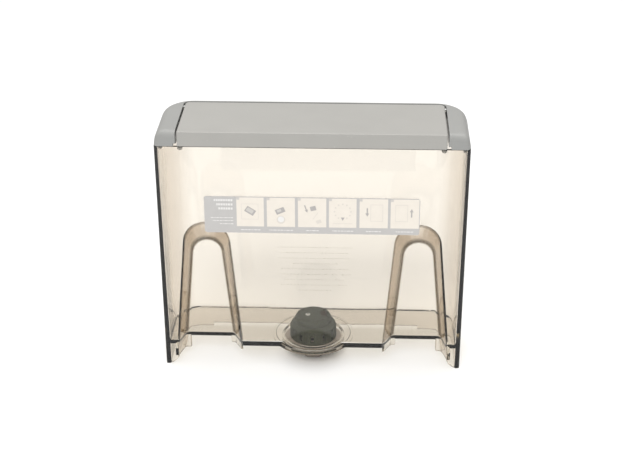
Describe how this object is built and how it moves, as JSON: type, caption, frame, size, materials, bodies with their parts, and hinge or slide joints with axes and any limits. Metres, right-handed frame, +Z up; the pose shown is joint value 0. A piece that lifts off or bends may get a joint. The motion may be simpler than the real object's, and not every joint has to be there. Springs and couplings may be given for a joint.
{
  "type": "fresh water tank",
  "caption": "Lift-out clear smoked water reservoir with a grey hinged lid and top frame, arched front recesses, a month-dial filter holder in a round well and a sprung outlet valve",
  "frame": {"origin": "middle of the bounding box in plan, at the level of the four feet it stands on", "axes": "+X to the right along the long side as seen from the front, +Y to the back wall, +Z up; the front wall with the arched recesses faces -Y"},
  "size_m": [0.25, 0.0822, 0.2118],
  "materials": {
    "smoked_clear": "clear moulded plastic with a warm smoke tint, polished",
    "grey_satin": "fine satin moulded grey",
    "grey_lid": "fine satin moulded grey",
    "pin_steel": "turned stainless",
    "spring_steel": "drawn stainless wire",
    "strainer_steel": "perforated stainless",
    "label_film": "printed film, satin",
    "filter_dark": "dark green-grey moulded, satin",
    "base_taupe": "grey-brown moulded, satin",
    "disc_pale": "pale moulded disc",
    "pouch_white": "non-woven pouch filled with resin beads",
    "seal_rubber": "black seal rubber",
    "valve_plastic": "dark grey moulded"
  },
  "bodies": {
    "tank": {"tank_body": "smoked_clear", "top_frame": "grey_satin", "instruction_label": "label_film", "filter_base": "base_taupe", "base_gasket": "seal_rubber", "valve_body": "valve_plastic", "valve_nut": "valve_plastic", "valve_strainer": "strainer_steel", "outlet_o_ring": "seal_rubber"},
    "lid": {"lid_panel": "grey_lid", "hinge_pin_left": "pin_steel", "hinge_pin_right": "pin_steel"},
    "cartridge": {"filter_cartridge": "pouch_white", "cartridge_seal": "seal_rubber"},
    "housing": {"filter_housing": "filter_dark", "month_disc": "disc_pale"},
    "dial": {"filter_dial": "filter_dark"},
    "plunger": {"valve_plunger": "valve_plastic", "valve_seal": "seal_rubber", "valve_spring": "spring_steel"}
  },
  "joints": [
    {"name": "lid_hinge", "type": "hinge", "parent": "tank", "child": "lid", "pos_m": [0, 0.0323, 0.2086], "axis": [-1, 0, 0], "range_deg": [0, 92]},
    {"name": "filter_lift", "type": "slide", "parent": "tank", "child": "cartridge", "axis": [0, 0, 1], "range_m": [0, 0.12]},
    {"name": "housing_twist", "type": "hinge", "parent": "cartridge", "child": "housing", "pos_m": [0, -0.0069, 0.0173], "axis": [0, 0, 1], "range_deg": [0, 45]},
    {"name": "dial_turn", "type": "hinge", "parent": "housing", "child": "dial", "pos_m": [0, -0.0069, 0.0329], "axis": [0, 0, 1], "continuous": true},
    {"name": "valve_lift", "type": "slide", "parent": "tank", "child": "plunger", "axis": [0, 0, 1], "range_m": [0, 0.0025], "stiffness_N_per_m": 120, "springref_m": -0.004, "deforming": ["valve_spring"]}
  ]
}
